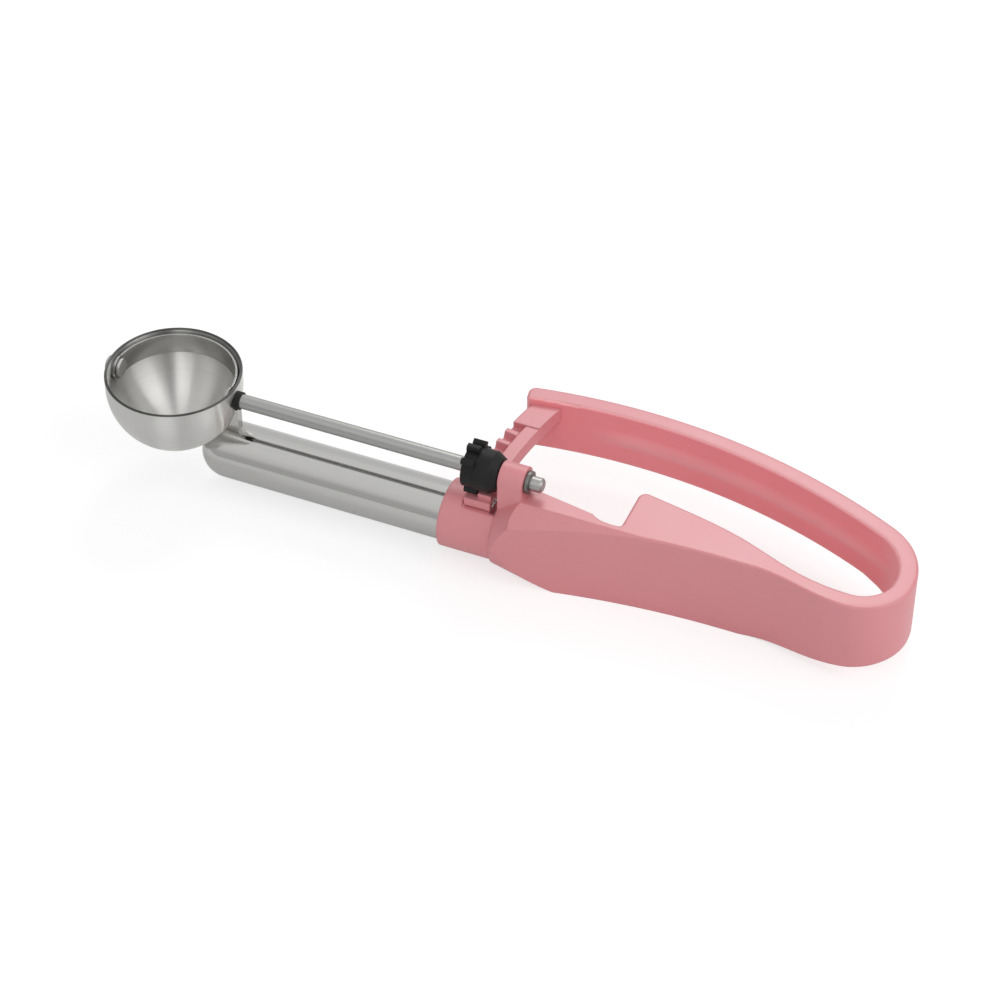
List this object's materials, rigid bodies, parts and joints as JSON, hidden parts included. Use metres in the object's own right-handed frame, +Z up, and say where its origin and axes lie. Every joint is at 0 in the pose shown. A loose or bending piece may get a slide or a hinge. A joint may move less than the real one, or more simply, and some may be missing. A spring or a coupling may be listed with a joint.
{
  "type": "lever ice cream scoop",
  "caption": "Squeeze-handle ice cream scoop: a spring lever swings a rack that turns the rod and sweeps a curved blade through a round steel bowl.",
  "frame": {"origin": "on the flat underside of the handle's nose, straight below the drive rod's axis, where the scoop rests when it is laid down", "axes": "+X along the drive rod from the bowl towards the handle's U-bend, +Y towards the side on which the squeeze lever stands, +Z up, out of the bowl's mouth"},
  "size_m": [0.2249, 0.0614, 0.0361],
  "materials": {
    "bowl_steel": "spun and polished stainless steel",
    "tube_steel": "bright drawn stainless steel",
    "rod_steel": "plain ground steel",
    "blade_steel": "rolled stainless strip",
    "ring_steel": "dull spring steel",
    "pink_plastic": "satin moulded pink plastic",
    "black_plastic": "matt black moulded plastic"
  },
  "bodies": {
    "frame": {"handle_body": "pink_plastic", "barrel_tube": "tube_steel", "bowl": "bowl_steel", "bowl_gusset": "tube_steel", "rod_bush": "black_plastic", "pivot_rivet": "rod_steel", "pivot_washer": "rod_steel"},
    "lever": {"squeeze_lever": "pink_plastic", "rack_arm": "pink_plastic"},
    "ejector": {"drive_rod": "rod_steel", "pinion": "black_plastic", "pinion_pin": "rod_steel", "retaining_ring": "ring_steel", "sweep_blade": "blade_steel"}
  },
  "joints": [
    {"name": "lever_squeeze", "type": "hinge", "parent": "frame", "child": "lever", "pos_m": [0.0895, 0.0067, 0.0151], "axis": [0, 0, 1], "range_deg": [0, 9.98], "stiffness_Nm_per_rad": 6, "springref_deg": -2.86},
    {"name": "ejector_spin", "type": "hinge", "parent": "frame", "child": "ejector", "pos_m": [0, 0, 0.0288], "axis": [1, 0, 0], "range_deg": [-176, 0]}
  ],
  "couplings": [
    {"joint": "ejector_spin", "follows": "lever_squeeze", "ratio": -17.625}
  ]
}
